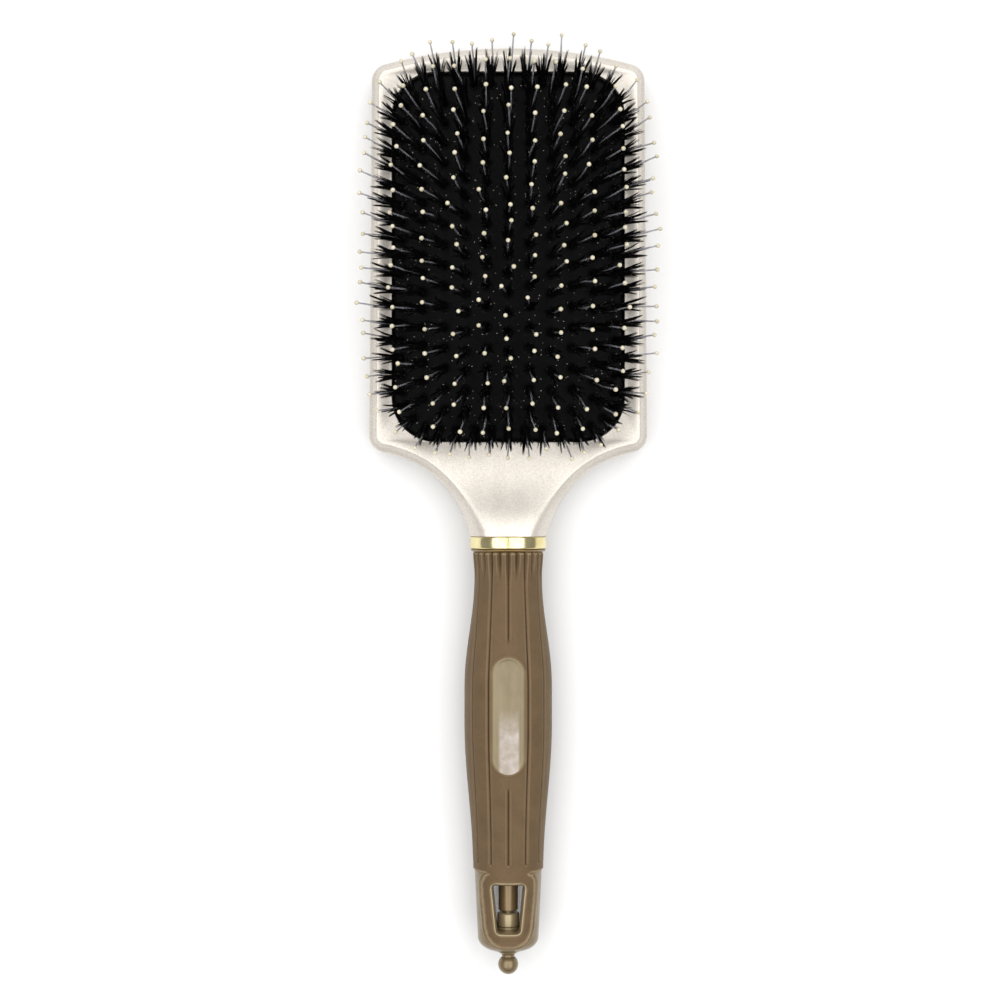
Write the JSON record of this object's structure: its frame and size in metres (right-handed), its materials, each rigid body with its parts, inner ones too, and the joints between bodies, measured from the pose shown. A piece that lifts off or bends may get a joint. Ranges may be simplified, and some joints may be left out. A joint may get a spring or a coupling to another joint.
{
  "type": "paddle hairbrush",
  "caption": "Rectangular paddle hairbrush with an air cushion of bristle tufts and ball-tipped pins, a soft grip with a gel inlay and a pull-out sectioning pick.",
  "frame": {"origin": "centre of the paddle's flat back face, under the middle of the cushion, on the plane that the brush lies on", "axes": "+X across the paddle to the right, +Y along the brush to the top of the head, +Z from the back face towards the bristle tips"},
  "size_m": [0.082, 0.2593, 0.0441],
  "materials": {
    "pearl_lacquer": "champagne pearl lacquer with a fine metallic flake",
    "polished_gold": "bright polished gold plating",
    "bronze_plastic": "satin bronze metallic plastic",
    "soft_grip": "matte soft-touch brown elastomer",
    "clear_gel": "glossy translucent gel with a pearly glow",
    "black_plastic": "matte black moulding",
    "black_rubber": "satin black rubber membrane",
    "bristle": "black bristle with fine glints",
    "nylon_pin": "smoky translucent nylon with cream ball tips"
  },
  "bodies": {
    "root": {"head_back_shell": "pearl_lacquer", "head_front_frame": "pearl_lacquer", "pad_retainer": "black_plastic", "neck_tenon": "pearl_lacquer", "gold_ring": "polished_gold", "handle_core": "bronze_plastic", "grip_sleeve": "soft_grip", "gel_inlay": "clear_gel", "pick_socket": "bronze_plastic"},
    "cushion": {"cushion_pad": "black_rubber", "tuft_anchors": "black_plastic", "tufts_col_1": "bristle", "tufts_col_2": "bristle", "tufts_col_3": "bristle", "tufts_col_4": "bristle", "tufts_col_5": "bristle", "tufts_col_6": "bristle", "tufts_col_7": "bristle", "tufts_col_8": "bristle", "tufts_col_9": "bristle", "tufts_left": "bristle", "tufts_right": "bristle", "tufts_top": "bristle", "tufts_bottom": "bristle", "pins_col_1": "nylon_pin", "pins_col_2": "nylon_pin", "pins_col_3": "nylon_pin", "pins_col_4": "nylon_pin", "pins_col_5": "nylon_pin", "pins_col_6": "nylon_pin", "pins_col_7": "nylon_pin", "pins_col_8": "nylon_pin", "pins_col_9": "nylon_pin", "pins_left": "nylon_pin", "pins_right": "nylon_pin", "pins_top": "nylon_pin", "pins_bottom": "nylon_pin"},
    "pick": {"pick_knob": "bronze_plastic", "pick_spike": "bronze_plastic"}
  },
  "joints": [
    {"name": "cushion_press", "type": "slide", "parent": "root", "child": "cushion", "axis": [0, 0, -1], "range_m": [0, 0.002], "stiffness_N_per_m": 6000, "deforming": ["cushion_pad"]},
    {"name": "pick_pull", "type": "slide", "parent": "root", "child": "pick", "axis": [0, -1, 0], "range_m": [0, 0.078]}
  ]
}
